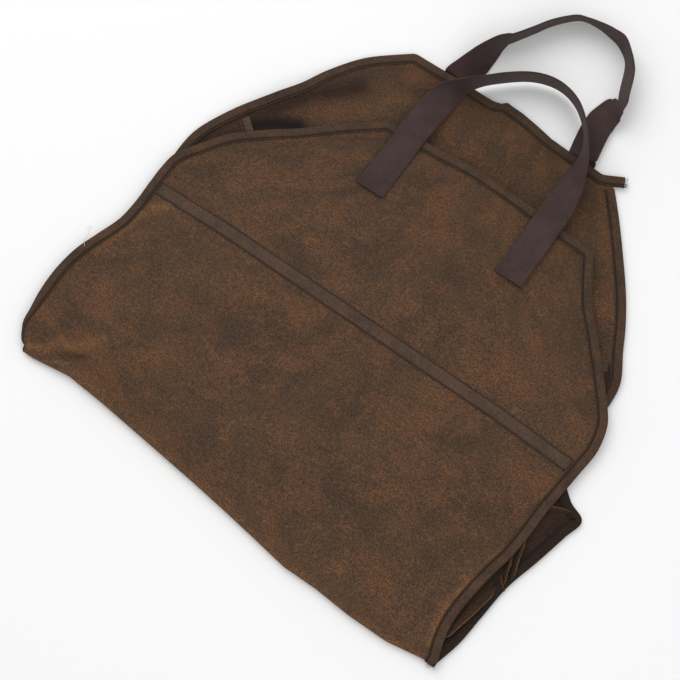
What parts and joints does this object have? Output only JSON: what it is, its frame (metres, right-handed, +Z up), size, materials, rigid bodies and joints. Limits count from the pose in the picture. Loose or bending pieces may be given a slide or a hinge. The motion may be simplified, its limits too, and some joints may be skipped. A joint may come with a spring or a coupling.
{
  "type": "canvas log carrier",
  "caption": "Canvas log carrier lying folded flat, with bound trapezoid flaps, end panels folded in between the layers and webbing handles standing on edge.",
  "frame": {"origin": "middle of the outline, on the surface it lies on", "axes": "+Z up, +Y from the bottom fold towards the handles, +X across the bag"},
  "size_m": [0.681, 0.7922, 0.0445],
  "materials": {
    "canvas": "waxed cotton canvas, matt",
    "binding": "folded cotton tape",
    "tape": "flat cotton tape",
    "webbing": "heavy woven webbing"
  },
  "bodies": {
    "root": {"front_flap": "canvas", "body_canvas": "canvas", "back_flap": "canvas", "seam_tape_front": "tape", "seam_tape_back": "tape", "binding_left": "binding", "binding_right": "binding", "binding_top_front": "binding", "binding_top_back": "binding", "end_panel_left": "canvas", "end_panel_right": "canvas", "end_tape_left": "tape", "end_tape_right": "tape", "front_handle": "webbing", "back_handle": "webbing"}
  },
  "joints": []
}
